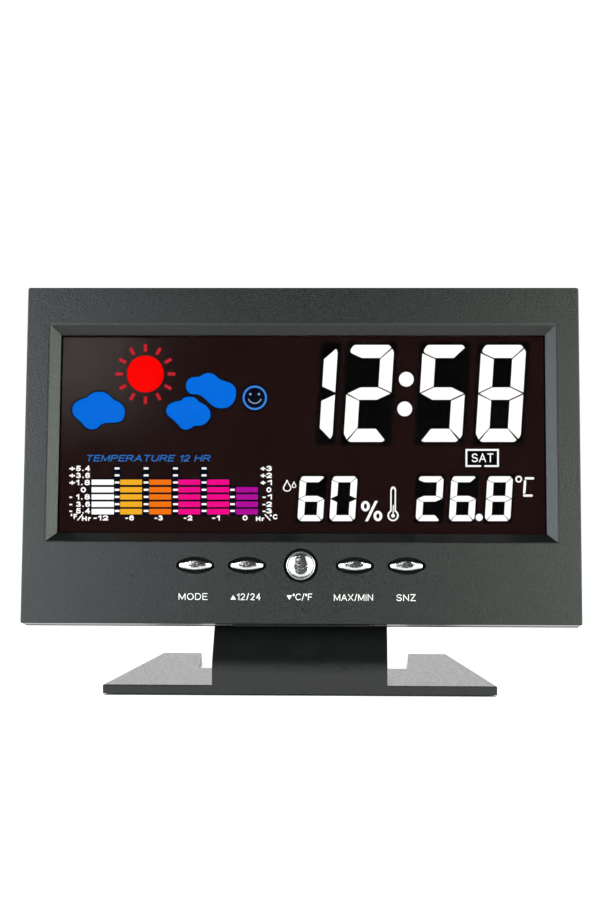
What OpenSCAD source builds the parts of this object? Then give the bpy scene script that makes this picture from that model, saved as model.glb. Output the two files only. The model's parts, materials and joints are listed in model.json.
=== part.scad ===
// Desk weather clock: a leaning display case with five keys, on a plug-in U-shaped stand.
// Frame: +X right, +Y away from the reader, +Z up. Origin at the middle of the footprint, on the desk.
// Case pieces are drawn in the case's own frame: x right, u up the face, w out of the face.

/* [Case] */
// Width of the front bezel
case_w = 157; // [156:0.5:160]
// Height of the front bezel, measured along its face
case_h = 96; // [95.5:0.5:98]
// Depth of the bezel's side walls
panel_d = 8.3; // [8.1:0.1:9]
// Depth of the whole case, face to back
case_d = 26.4; // [26.4:0.1:27]
// How far the case leans back, degrees
tilt = 12.5; // [11:0.5:14]
// Round on the bezel's front edges
edge_r = 0.3; // [0.2:0.1:1]
// Step between the bezel's lower edge and the rim at its seam
seam_h = 0.15; // [0.05:0.05:0.3]

/* [Display] */
// Clear width of the display window
win_w = 138.1; // [136:0.1:138.5]
// Clear height of the display window
win_h = 56.95; // [56:0.05:57]
// Height of the window's lower edge above the case's lower edge
win_u = 25.8; // [25.7:0.05:25.9]
// Width of the sloped frame at the window's ends
bevel_x = 2.95; // [2:0.05:3.2]
// Width of the sloped frame above and below the window
bevel_u = 2.6; // [2:0.05:2.7]
// Depth of the sloped frame
bevel_d = 2.45; // [2:0.05:2.6]
// Round where the sloped frame meets the face
rim_r = 1.2; // [0.3:0.1:1.4]

/* [Keys] */
// Height of the key row above the case's lower edge
key_u = 16.5; // [16.2:0.1:16.6]
// Distance from the middle key to the next one
key_p1 = 15.1; // [14.6:0.1:15.4]
// Distance from the middle key to the outer one
key_p2 = 29.6; // [29:0.1:30.2]
// Length of an oval key cap
oval_l = 9.2; // [8.8:0.1:9.4]
// Height of an oval key cap
oval_h = 3.3; // [3:0.1:3.5]
// Diameter of the round key cap
round_d = 8.1; // [7.8:0.1:8.3]
// Gap around each cap
key_gap = 0.8; // [0.6:0.05:0.9]
// Travel of a key
key_travel = 0.7; // [0.4:0.1:0.8]

/* [Stand] */
// Depth of the base, front to back
base_d = 54; // [52:0.5:58]
// Width of the base at its front edge
base_wf = 108.8; // [100:0.1:116]
// Width of the base at its back edge
base_wr = 84.6; // [78:0.1:92]
// Width of the notch at its closed end
notch_wf = 60.2; // [56:0.1:61]
// Width of the notch at the back edge
notch_wr = 61.8; // [57:0.1:63]
// Depth of the base's front bar
bar_d = 27.8; // [25:0.1:30]
// Thickness of the base plate
base_t = 2.45; // [2.2:0.05:3]
// Width of the neck
neck_w = 48.4; // [47:0.1:50]
// Height of the neck's upright front lip
lip_h = 8.4; // [6.5:0.1:9]
// Radius of the bend between the neck's lip and its slope
bend_r = 5; // [2:0.1:6]
// Height of the case's lower front edge above the desk
case_z = 18.5; // [18:0.1:20]

/* [Hidden] */
$fn = 48;
foot = 0.4;                         // how far the rubber feet stand proud
yF = -base_d / 2;                   // front face of the base
case_y = yF + 8.4;                  // lower front edge of the case
HW = case_w / 2;
wx = win_w / 2;
wt = win_u + win_h;                 // top of the window
zb0 = foot + base_t;                // top of the base plate
key_x = [-key_p2, -key_p1, 0, key_p1, key_p2];

// Depths behind the face, front to back
d_plate = 2.0;                      // bezel face wall
d_lip = 2.9;                        // bezel wall round the window
d_pane = 4.4;                       // back of the window pane
d_gask = 4.7;                       // back of the gasket
d_lcd1 = 5.8;                       // between the two glasses
d_lcd2 = 6.9;                       // back of the glass
d_film = 7.1;
d_guide = 9.6;
d_refl = 9.8;
d_pcb0 = 10.2;
d_pcb1 = 11.4;
d_floor = 13.3;                     // battery bay floor
d_back = case_d - 2.2;              // inside of the rear wall
cell_r = 5.15;
cell_w = -(d_floor + 0.25 + cell_r);
cell_u = [52.5, 63.5, 74.5];
bay_x = 24.9;
bay_u0 = 46.9;
bay_u1 = 80.1;
screw_pos = [[-66, 8.5], [66, 8.5], [-66, 89], [66, 89]];
board_pos = [[-50, 8], [50, 8], [-40, 89.2], [40, 89.2]];
feet_pos = [[-46, yF + 6.5], [46, yF + 6.5], [-36.4, -yF - 6.5], [36.4, -yF - 6.5]];

// ---- helpers ----
module in_case() translate([0, case_y, case_z]) rotate([90 - tilt, 0, 0]) children();
// box between two corners
module slab(x0, x1, u0, u1, w0, w1)
    translate([min(x0, x1), min(u0, u1), min(w0, w1)])
        cube([abs(x1 - x0), abs(u1 - u0), abs(w1 - w0)]);
// 2D profile (x, w) drawn out along u
module along_u(u0, u1) translate([0, u1, 0]) rotate([90, 0, 0]) linear_extrude(u1 - u0) children();
// 2D profile (u, w) or (y, z) drawn out along x
module along_x(x0, x1) translate([x0, 0, 0]) rotate([90, 0, 90]) linear_extrude(x1 - x0) children();
// rectangle with round corners
module rrect(x0, x1, y0, y1, r) union() {
    translate([x0 + r, y0]) square([x1 - x0 - 2 * r, y1 - y0]);
    translate([x0, y0 + r]) square([x1 - x0, y1 - y0 - 2 * r]);
    for (x = [x0 + r, x1 - r], y = [y0 + r, y1 - r]) translate([x, y]) circle(r);
}
// wall section with its two front edges rounded
module edge_profile(a0, a1, d, r) union() {
    translate([a0, -d]) square([a1 - a0, d - r]);
    translate([a0 + r, -d]) square([a1 - a0 - 2 * r, d]);
    for (a = [a0 + r, a1 - r]) translate([a, -r]) circle(r);
}
// oval of four arcs, drawn out from w0 to w1
function oval_R(a, b, r) = ((a - r) * (a - r) + b * b - r * r) / (2 * (b - r));
module oval(a, b, w0, w1) {
    r = b * 0.5;
    R = oval_R(a, b, r);
    xt = (a - r) * R / (R - r);
    translate([0, 0, min(w0, w1)]) union() {
        intersection() {
            translate([0, b - R, 0]) cylinder(r = R, h = abs(w1 - w0), $fn = 96);
            translate([0, R - b, 0]) cylinder(r = R, h = abs(w1 - w0), $fn = 96);
            translate([-xt, -b - 1, 0]) cube([2 * xt, 2 * b + 2, abs(w1 - w0)]);
        }
        for (s = [-1, 1]) translate([s * (a - r), 0, 0]) cylinder(r = r, h = abs(w1 - w0));
    }
}
// round rod along w
module rod(p, r, w0, w1) translate([p[0], p[1], min(w0, w1)]) cylinder(r = r, h = abs(w1 - w0));
// tube of radius r swept along points
function unit(v) = v / norm(v);
module tube(P, r, s = 8, ref = [0.31, 0.52, 0.8]) {
    n = len(P);
    pts = [for (i = [0 : n - 1])
        let (t = unit(P[min(i + 1, n - 1)] - P[max(i - 1, 0)]), a = unit(cross(t, ref)), b = cross(t, a))
        for (k = [0 : s - 1]) P[i] + r * (cos(k * 360 / s) * a + sin(k * 360 / s) * b)];
    sides = [for (i = [0 : n - 2], k = [0 : s - 1], h = [0, 1])
        let (k2 = (k + 1) % s, p = i * s + k, q = i * s + k2)
        h == 0 ? [p, p + s, q + s] : [p, q + s, q]];
    caps = [[for (k = [0 : s - 1]) k], [for (k = [0 : s - 1]) n * s - 1 - k]];
    polyhedron(points = pts, faces = concat(sides, caps));
}
// smooth points through a hand-laid route
function mid(P, i, t) =
    let (n = len(P), a = P[max(i - 1, 0)], b = P[i], c = P[min(i + 1, n - 1)], d = P[min(i + 2, n - 1)])
    0.5 * ((2 * b) + (c - a) * t + (2 * a - 5 * b + 4 * c - d) * t * t + (3 * b - a - 3 * c + d) * t * t * t);
function route(P, k) = concat([for (i = [0 : len(P) - 2], j = [0 : k - 1]) mid(P, i, j / k)], [P[len(P) - 1]]);

// ---- front of the case ----
// rounded rim of the sloped frame, as points out from the window's edge; it leaves the face a hair above it
function rim(b, n = 6) = let (turn = atan2(bevel_d, b)) [for (k = [0 : n])
    let (a = 90 + turn * (1 - k / n)) [b + rim_r * (tan(turn / 2) + cos(a)), rim_r * (sin(a) - 1) + 0.004]];
// section of the window's opening, its edges at a0 and a1, with slopes of width b
module window_section(a0, a1, b) {
    R = rim(b);
    n = len(R) - 1;
    polygon(concat([[a0, -4], [a1, -4], [a1, -bevel_d]], [for (q = R) [a1 + q[0], q[1]]],
        [[a1 + R[n][0], 1], [a0 - R[n][0], 1]], [for (k = [0 : n]) [a0 - R[n - k][0], R[n - k][1]]], [[a0, -bevel_d]]));
}
module window_cut() intersection() {
    along_u(win_u - 8, wt + 8) window_section(-wx, wx, bevel_x);
    along_x(-HW, HW) window_section(win_u, wt, bevel_u);
}

module front_bezel() color([0.16, 0.165, 0.17]) in_case() difference() {
    union() {
        difference() {
            intersection() {
                translate([0, 0, -panel_d]) linear_extrude(panel_d) rrect(-HW, HW, 0, case_h, 0.8);
                along_u(-1, case_h + 1) edge_profile(-HW, HW, panel_d + 1, edge_r);
                along_x(-HW - 1, HW + 1) union() {
                    edge_profile(seam_h, case_h, panel_d + 1, edge_r);
                    translate([0, -panel_d - 1]) square([3, 1.7]);
                }
            }
            translate([0, 0, -panel_d - 1]) linear_extrude(panel_d + 1 - d_plate)
                rrect(-HW + 2, HW - 2, 2, case_h - 2, 0.5);
        }
        // thicker wall round the window
        slab(-wx - bevel_x - 1.5, wx + bevel_x + 1.5, win_u - bevel_u - 1, wt + bevel_u + 1.5, -d_lip, -d_plate + 0.4);
        for (p = screw_pos) rod(p, 3.2, -10.2, -1.5);
        for (p = board_pos) rod(p, 2.6, -d_pcb0, -1.5);
        // pocket that takes the stand's tongue
        slab(-21, 21, 1, 9.6, -panel_d, -7.25);
        for (s = [-1, 1]) slab(s * 19.45, s * 21, 1, 9.6, -panel_d, -1.5);
        for (x = [-12, 0, 12]) slab(x - 0.8, x + 0.8, 1, 9.6, -3.55, -1.5);
        // stiffening ribs at the ends
        for (s = [-1, 1], u = [30, 54, 78]) slab(s * (HW - 1.5), s * (HW - 4.2), u - 0.6, u + 0.6, -6, -1.5);
    }
    window_cut();
    for (i = [0, 1, 3, 4]) translate([key_x[i], key_u, 0]) oval(oval_l / 2 + key_gap, oval_h / 2 + key_gap, -2.6, 1);
    rod([0, key_u], round_d / 2 + key_gap, -2.6, 1);
    for (p = screw_pos) rod(p, 1.34, -10.8, -4);
    for (p = board_pos) rod(p, 1.04, -10.8, -5);
    // slot for the tongue
    slab(-19.3, 19.3, -1, 2.2, -7.2, -3.6);
}

module display_window() color([0.05, 0.05, 0.06, 0.6]) in_case() translate([0, 0, -d_pane])
    linear_extrude(d_pane - d_lip) rrect(-wx - 2.4, wx + 2.4, win_u - 1.7, wt + 1.65, 0.6);

module window_gasket() color([0.1, 0.1, 0.1]) in_case() difference() {
    slab(-wx - 1.9, wx + 1.9, win_u - 1.4, wt + 1.3, -d_gask, -d_pane);
    slab(-wx - 0.8, wx + 0.8, win_u + 0.1, wt + 0.1, -d_gask - 1, -d_pane + 1);
}

module lcd_panel() color([0.2, 0.22, 0.24]) in_case() union() {
    slab(-wx - 1.3, wx + 1.3, win_u - 2.1, wt + 1.1, -d_lcd1, -d_gask);
    slab(-wx - 1.3, wx + 1.3, win_u + 1.2, wt + 1.1, -d_lcd2, -d_lcd1 + 0.2);
}

module colour_film() color([0.5, 0.3, 0.6]) in_case()
    slab(-wx + 0.6, wx + 0.5, win_u + 1.4, wt + 0.7, -d_film, -d_lcd2);

module light_guide() color([0.85, 0.9, 0.95]) in_case() difference() {
    slab(-wx + 0.6, wx + 0.5, win_u + 1.4, wt + 0.7, -d_guide, -d_film);
    // locating notches
    for (u = [38, 70]) slab(wx - 0.6, wx + 1, u - 1.5, u + 1.5, -d_guide - 1, -d_film + 1);
}

module reflector_sheet() color([0.95, 0.95, 0.95]) in_case()
    slab(-wx + 0.6, wx + 0.5, win_u + 1.4, wt + 0.7, -d_refl, -d_guide);

module backlight_strip() color([0.9, 0.9, 0.85]) in_case()
    slab(-wx - 1.5, -wx - 0.55, 31, 79, -9.7, -7.2);

module backlight_leds() color([1, 0.95, 0.7]) in_case()
    for (i = [0 : 5]) slab(-wx - 0.55, -wx + 0.45, 35.5 + i * 7.8 - 1.5, 35.5 + i * 7.8 + 1.5, -9.2, -7.6);

module display_holder() color([0.93, 0.93, 0.92]) in_case() difference() {
    slab(-wx - 4, wx + 4, win_u - 3.6, wt + 2.95, -10.15, -4.6);
    slab(-wx - 1.6, wx + 1.6, win_u - 2.4, wt + 1.4, -9.85, -3);
    slab(-wx - 2.75, wx + 2.75, win_u - 2.0, wt + 1.9, -5, -3);
    slab(-wx + 3, wx - 3, win_u - 2.4, wt - 3, -11, -9);
}

module contact_strip() color([0.85, 0.6, 0.65]) in_case()
    slab(-60, 60, win_u - 1.4, win_u + 0.4, -d_pcb0, -d_lcd1);

// ---- electronics ----
module main_board() color([0.1, 0.4, 0.2]) in_case() difference() {
    union() {
        slab(-70, 70, 5.3, 84.4, -d_pcb1, -d_pcb0);
        for (s = [-1, 1]) slab(s * 36, s * 44, 84, 91.3, -d_pcb1, -d_pcb0);
    }
    for (s = [-1, 1]) slab(s * 60.6, s * 71, 5, 13.8, -12, -9);
    for (p = board_pos) rod(p, 1.15, -12, -9);
}

module board_screws() color([0.75, 0.75, 0.78]) in_case() for (p = board_pos) difference() {
    union() {
        rod(p, 1.9, -d_pcb1 - 1.2, -d_pcb1);
        rod(p, 1.0, -d_pcb1, -5.8);
    }
    for (a = [0, 90]) translate([p[0], p[1], -d_pcb1 - 1.2]) rotate([0, 0, a]) cube([2.2, 0.5, 1.2], center = true);
}

module chip_blob() color([0.06, 0.06, 0.06]) in_case() intersection() {
    translate([15, 33, -d_pcb1 - 1.5 + 14.83]) sphere(14.83, $fn = 96);
    slab(5, 25, 22, 44, -d_pcb1 - 3, -d_pcb1);
}

module quartz_crystal() color([0.8, 0.8, 0.82]) in_case() union() {
    translate([-6, 30, -d_pcb1 - 1.1]) rotate([0, 90, 0]) cylinder(r = 1.05, h = 6);
    for (s = [-1, 1]) slab(-7.2, -5.8, 30 + s * 0.5 - 0.15, 30 + s * 0.5 + 0.15, -d_pcb1 - 1.2, -d_pcb1 - 0.9);
    for (s = [-1, 1]) slab(-7.2, -6.9, 30 + s * 0.5 - 0.15, 30 + s * 0.5 + 0.15, -d_pcb1 - 1.1, -d_pcb1);
}

module capacitor() color([0.12, 0.14, 0.3]) in_case() difference() {
    union() {
        rod([-20, 33], 2.5, -18.4, -d_pcb1);
        rod([-20, 33], 2.7, -12.6, -d_pcb1);
    }
    for (a = [0, 90]) translate([-20, 33, -18.4]) rotate([0, 0, a]) cube([4, 0.3, 0.4], center = true);
}

module lead_connector() color([0.92, 0.9, 0.82]) in_case() difference() {
    slab(30, 38, 28, 33, -16.4, -d_pcb1);
    slab(31, 37, 29, 32, -17, -13);
}

module tact_switches() color([0.12, 0.12, 0.12]) in_case() for (x = key_x) translate([x, key_u, 0]) difference() {
    union() {
        slab(-3, 3, -3, 3, -d_pcb0, -7.0);
        slab(-2.9, 2.9, -2.9, 2.9, -7.0, -6.7);
    }
    rod([0, 0], 1.8, -9.8, -6);
}

module plunger(i) color([0.2, 0.2, 0.2]) in_case() translate([key_x[i], key_u, 0])
    union() { rod([0, 0], 1.7, -8.6, -5.4); rod([0, 0], 1.4, -5.6, -5.2); }
module mode_plunger() plunger(0);
module up_plunger() plunger(1);
module down_plunger() plunger(2);
module memory_plunger() plunger(3);
module snooze_plunger() plunger(4);

// Oval cap: crowned along and across, with a flange behind the face wall and a stem to the switch
module oval_cap(i) color([0.8, 0.8, 0.82]) in_case() translate([key_x[i], key_u, 0]) union() {
    intersection() {
        oval(oval_l / 2, oval_h / 2, -2.5, 1.1);
        translate([-10, 0, 1.1 - 2.25]) rotate([0, 90, 0]) cylinder(r = 2.25, h = 20, $fn = 96);
        translate([0, 10, 1.1 - 13]) rotate([90, 0, 0]) cylinder(r = 13, h = 20, $fn = 96);
    }
    oval(oval_l / 2, oval_h / 2, -2.6, 0.05);
    oval(oval_l / 2 + 1.4, oval_h / 2 + 1.4, -3.15, -2.15);
    rod([0, 0], 1.8, -5.2, -3);
}
module round_cap(i) color([0.8, 0.8, 0.82]) in_case() translate([key_x[i], key_u, 0]) union() {
    intersection() {
        rod([0, 0], round_d / 2, -2.5, 1.6);
        translate([0, 0, 1.6 - 7.4]) sphere(7.4, $fn = 96);
    }
    rod([0, 0], round_d / 2, -2.6, 0.2);
    rod([0, 0], round_d / 2 + 1.4, -3.15, -2.15);
    rod([0, 0], 1.8, -5.2, -3);
}
module mode_button() oval_cap(0);
module up_button() oval_cap(1);
module down_button() round_cap(2);
module memory_button() oval_cap(3);
module snooze_button() oval_cap(4);

module humidity_sensor() color([0.2, 0.45, 0.8]) in_case() difference() {
    union() {
        slab(43, 53, 52, 65, -21, -17);
        for (x = [45, 47, 49, 51]) rod([x, 53.5], 0.3, -17.5, -d_pcb1);
    }
    for (x = [45.2, 47.6, 50], u = [55.5, 58.5, 61.5]) slab(x, x + 1, u, u + 1.6, -22, -20.2);
}

module thermistor() color([0.1, 0.1, 0.1]) in_case() union() {
    translate([58, 58, -18.6]) sphere(1.4);
    for (s = [-1, 1]) rod([58 + s * 0.7, 58], 0.25, -18.6, -d_pcb1);
}

module buzzer() color([0.08, 0.08, 0.08]) in_case() difference() {
    rod([-49, 62], 8.6, -d_back + 0.05, -18);
    rod([-49, 62], 1.2, -d_back - 1, -d_back + 3);
}

module buzzer_leads() color([0.6, 0.1, 0.1]) in_case() for (k = [0, 1])
    tube(route([[-46.5 + k * 2.4, 58, -17.95], [-46.5 + k * 2.4, 57.9, -16.4], [-45.6 + k * 2.4, 56.6, -14.2],
                [-45 + k * 2.4, 55.8, -12.6], [-45 + k * 2.4, 55.7, -d_pcb1 - 0.05]], 2), 0.5);

module power_socket() color([0.07, 0.07, 0.075]) in_case() difference() {
    union() {
        slab(47.6, 56.4, 19.6, 28.4, -d_back + 0.05, -14);
        rod([52, 24], 2.95, -case_d + 0.2, -d_back + 0.5);
        for (x = [49.5, 54.5]) rod([x, 24], 0.45, -14.5, -d_pcb1);
    }
    difference() { rod([52, 24], 1.8, -case_d - 1, -17); rod([52, 24], 0.55, -case_d + 0.9, -16); }
}

// ---- back of the case ----
module tub_outer() hull() {
    translate([0, 0, -panel_d - 0.4]) linear_extrude(0.4) rrect(-HW + 1, HW - 1, 1, case_h - 1, 1.5, $fn = 32);
    translate([0, 0, -case_d + 1]) linear_extrude(0.2) rrect(-HW + 8.1, HW - 8.1, 7.6, case_h - 7.6, 3.5, $fn = 32);
    translate([0, 0, -case_d]) linear_extrude(0.2) rrect(-HW + 9.2, HW - 9.2, 8.7, case_h - 8.7, 2.9, $fn = 32);
}
module tub_inner() hull() {
    translate([0, 0, -panel_d - 0.2]) linear_extrude(0.3) rrect(-HW + 3, HW - 3, 3, case_h - 3, 1, $fn = 32);
    translate([0, 0, -d_back]) linear_extrude(0.2) rrect(-HW + 9.6, HW - 9.6, 9.1, case_h - 9.1, 2, $fn = 32);
}

module rear_cover() color([0.15, 0.155, 0.16]) in_case() difference() {
    union() {
        difference() { tub_outer(); tub_inner(); }
        // rim that sits inside the bezel's walls, open over the tongue pocket
        difference() {
            translate([0, 0, -panel_d - 1]) linear_extrude(3) rrect(-HW + 2.2, HW - 2.2, 2.2, case_h - 2.2, 0.5);
            translate([0, 0, -panel_d - 2]) linear_extrude(6) rrect(-HW + 3.5, HW - 3.5, 3.5, case_h - 3.5, 0.5);
            slab(-21.5, 21.5, 1, 4, -panel_d - 0.05, -5);
        }
        intersection() {
            tub_outer();
            union() {
                for (p = screw_pos) rod(p, 4.4, -case_d - 1, -10.3);
                // thick pad that holds the door's grooves
                slab(-31.5, 31.5, 42, 96, -d_back - 0.4, -22.6);
                // battery bay
                slab(-bay_x - 1.2, bay_x + 1.2, bay_u0 - 1.2, bay_u1 + 1.2, -d_back - 0.2, -d_floor + 1);
                // ring for the buzzer
                difference() { rod([-49, 62], 10.2, -d_back - 0.2, -20); rod([-49, 62], 8.9, -d_back, -19); }
                // ribs beside the power socket
                for (x = [[46, 47.3], [56.7, 58]]) slab(x[0], x[1], 19, 29, -d_back - 0.2, -17);
                // cross ribs
                for (s = [-1, 1]) slab(s * 26, s * 60, 40, 41.2, -d_back - 0.2, -19);
            }
        }
    }
    slab(-bay_x, bay_x, bay_u0, bay_u1, -case_d - 1, -d_floor);
    // door recess and its side grooves, open at the top
    slab(-28, 28, 44.2, 100, -case_d - 1, -d_back - 0.1);
    slab(-29.4, 29.4, 44.2, 100, -25.45, -d_back - 0.1);
    // screw wells
    for (p = screw_pos) { rod(p, 3.0, -case_d - 1, -13); rod(p, 1.5, -14, -9); }
    // sensor vents
    for (i = [0 : 5]) slab(39, 57, 51 + i * 3.2, 52.5 + i * 3.2, -case_d - 1, -d_back + 1);
    // sound holes
    rod([-49, 62], 0.8, -case_d - 1, -d_back + 1);
    for (a = [0 : 60 : 300]) rod([-49 + 4 * cos(a), 62 + 4 * sin(a)], 0.8, -case_d - 1, -d_back + 1);
    // power socket hole, sunk
    rod([52, 24], 3.05, -case_d - 1, -d_back + 1);
    // slots for the solder tabs
    for (s = [-1, 1]) slab(s * 24, s * 27, s > 0 ? 76 : 48.6, s > 0 ? 78.4 : 51, -15.4, -14.6);
}

module case_screws() color([0.7, 0.7, 0.72]) in_case() for (p = screw_pos) difference() {
    union() { rod(p, 2.4, -14.7, -13); rod(p, 1.3, -13, -5); }
    for (a = [0, 90]) translate([p[0], p[1], -14.7]) rotate([0, 0, a]) cube([2.8, 0.6, 1.6], center = true);
}

// ---- battery bay ----
module battery_plates() color([0.82, 0.82, 0.84]) in_case() union() {
    slab(-24.85, -24.45, 48, 57.5, -22.8, -14.7);
    slab(-24.85, -24.45, 59, 79.4, -22.8, -14.7);
    slab(24.45, 24.85, 47.6, 68, -22.8, -14.7);
    slab(24.45, 24.85, 69.6, 79.4, -22.8, -14.7);
    slab(24.45, 27.4, 76.2, 78.2, -15.2, -14.8);
    slab(-27.4, -24.45, 48.8, 50.8, -15.2, -14.8);
}

// Cone spring from a plate (x0) to a cell's flat end (x1)
module cone_spring(x0, x1, u) {
    n = 42;
    tube([for (i = [0 : n]) let (f = i / n, a = f * 3.25 * 360, r = 3.7 - 1.6 * f)
        [x0 + (x1 - x0) * f, u + r * cos(a), cell_w + r * sin(a)]], 0.32, 6, [1, 0.02, 0.03]);
}
module battery_springs() color([0.8, 0.8, 0.8]) in_case() {
    for (u = [cell_u[0], cell_u[2]]) cone_spring(-24.1, -20.45, u);
    cone_spring(24.1, 20.45, cell_u[1]);
}

module battery_cells() color([0.25, 0.45, 0.3]) in_case() for (i = [0 : 2])
    translate([0, cell_u[i], cell_w]) rotate([0, i == 1 ? -90 : 90, 0]) union() {
        translate([0, 0, -20.05]) cylinder(r = cell_r, h = 43.4);
        translate([0, 0, 23.2]) cylinder(r = 1.9, h = 1.23);
    }

red_route = [[27.62, 77.2, -15], [29.2, 77.2, -15], [32.4, 74, -14.8], [33.4, 66, -14.4], [33.4, 52, -14.4],
             [33, 40, -14.4], [33, 35.5, -14.4], [33, 33.2, -14.4]];
black_route = [[-27.62, 49.8, -15], [-29, 49.8, -15], [-31.2, 47, -14.8], [-29.6, 42.6, -14.4], [-22, 41, -14.4],
               [0, 41, -14.4], [22, 41, -14.4], [32.6, 40, -16.6], [35.5, 36.6, -14.6], [35.5, 33.2, -14.4]];
module battery_lead_red() color([0.7, 0.08, 0.08]) in_case() tube(route(red_route, 3), 0.6);
module battery_lead_black() color([0.07, 0.07, 0.07]) in_case() tube(route(black_route, 3), 0.6);

// Sliding door with side tongues and a ribbed thumb grip
module battery_door() color([0.15, 0.155, 0.16]) in_case() difference() {
    union() {
        difference() {
            union() {
                slab(-27.75, 27.75, 44.4, 90, -case_d, -24.45);
                slab(-29.1, 29.1, 44.4, 90, -25.3, -24.45);
            }
            // shallow thumb recess
            translate([0, 57, -case_d - 19]) sphere(20, $fn = 96);
        }
        for (i = [-2 : 2]) intersection() {
            slab(-5.5, 5.5, 57 + i * 2.2 - 0.45, 57 + i * 2.2 + 0.45, -case_d, -25.1);
            translate([0, 57, -26]) cylinder(r = 6.1, h = 3);
        }
    }
    // end that follows the slope of the case's top
    translate([0, case_h - 8.75, -case_d]) rotate([-21, 0, 0]) slab(-40, 40, 0, 20, -6, 12);
}

// ---- stand ----
// convex plate with a small chamfer round its top edge
module plate(P, Q) hull() {
    translate([0, 0, foot]) linear_extrude(base_t - c) polygon(P);
    translate([0, 0, foot]) linear_extrude(base_t) polygon(Q);
}
c = 0.2;
wm = base_wf / 2 - (base_wf - base_wr) / 2 * bar_d / base_d;      // half width at the notch's front
wq = base_wf / 2 - (base_wf - base_wr) / 2 * (bar_d - 6) / base_d;
nq = notch_wf / 2 - (notch_wr - notch_wf) / 2 * 6 / (base_d - bar_d);  // arms start inside the bar
module base_plate() union() {
    plate([[-base_wf / 2, yF], [base_wf / 2, yF], [wm, yF + bar_d], [-wm, yF + bar_d]],
          [[-base_wf / 2 + c, yF + c], [base_wf / 2 - c, yF + c], [wm - c, yF + bar_d - c], [-wm + c, yF + bar_d - c]]);
    for (s = [-1, 1])
        plate([[s * nq, yF + bar_d - 6], [s * wq, yF + bar_d - 6], [s * base_wr / 2, -yF], [s * notch_wr / 2, -yF]],
              [[s * (nq + c), yF + bar_d - 6], [s * (wq - c), yF + bar_d - 6],
               [s * (base_wr / 2 - c), -yF - c], [s * (notch_wr / 2 + c), -yF - c]]);
}
// height of the shoulder under the case at a given y
function shoulder(y) = case_z + (-0.12 - (y - case_y) * sin(tilt)) / cos(tilt);
yN = yF + 12.2;                     // where the slope meets the case
yB = yF + 16;                       // back of the neck
bend_a = atan2(yN - yF, shoulder(yN) - foot - lip_h);             // lean of the slope from upright
bend_t = bend_r * tan(bend_a / 2);                                // length of each tangent
bend_o = [yF + bend_r, foot + lip_h - bend_t];                    // middle of the bend
module neck_profile() difference() {
    polygon([[yF, foot], [yF, foot + lip_h], [yN, shoulder(yN)], [yB, shoulder(yB)], [yB, zb0 + 1.5],
             [yB + 1.5, zb0], [yB + 1.5, foot]]);
    // round bend between lip and slope
    difference() {
        polygon([bend_o, bend_o - [bend_r * 1.3, 0], bend_o + bend_r * 1.5 * [-cos(bend_a / 2), sin(bend_a / 2)],
                 bend_o + bend_r * 1.3 * [-cos(bend_a), sin(bend_a)]]);
        translate(bend_o) circle(bend_r, $fn = 96);
    }
}
module stand() color([0.15, 0.155, 0.16]) difference() {
    union() {
        base_plate();
        along_x(-neck_w / 2, neck_w / 2) neck_profile();
        in_case() slab(-19, 19, -1.4, 8.4, -7.0, -3.8);
        in_case() slab(-18.4, 18.4, 8.3, 9.0, -6.6, -4.2);
    }
    // hollows behind the neck's front wall
    for (x = [-15.5, 0, 15.5]) along_x(x - 6.3, x + 6.3)
        polygon([[yF + 2.9, zb0], [yF + 2.9, foot + lip_h - 0.8], [yF + 10.9, zb0 + 10.4], [yF + 17, zb0 + 10.4], [yF + 17, zb0]]);
    for (p = feet_pos) translate([p[0], p[1], foot - 1]) cylinder(r = 4.15, h = 1.75);
}

module stand_feet() color([0.08, 0.08, 0.08]) for (p = feet_pos) translate([p[0], p[1], 0]) union() {
    cylinder(r = 4, h = foot + 0.7);
    cylinder(r = 3.6, h = foot + 0.75);
}

front_bezel();
display_window();
window_gasket();
lcd_panel();
colour_film();
light_guide();
reflector_sheet();
backlight_strip();
backlight_leds();
display_holder();
contact_strip();
main_board();
board_screws();
chip_blob();
quartz_crystal();
capacitor();
lead_connector();
tact_switches();
mode_plunger();
up_plunger();
down_plunger();
memory_plunger();
snooze_plunger();
mode_button();
up_button();
down_button();
memory_button();
snooze_button();
humidity_sensor();
thermistor();
buzzer();
buzzer_leads();
power_socket();
rear_cover();
case_screws();
battery_plates();
battery_springs();
battery_cells();
battery_lead_red();
battery_lead_black();
battery_door();
stand();
stand_feet();
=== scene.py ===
"""Looks of a desk weather clock: finishes, plated key caps, the lit display, legends, light and camera."""
import json
import math

import bmesh
import bpy
from mathutils import Euler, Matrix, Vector
from mathutils.geometry import tessellate_polygon


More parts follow.
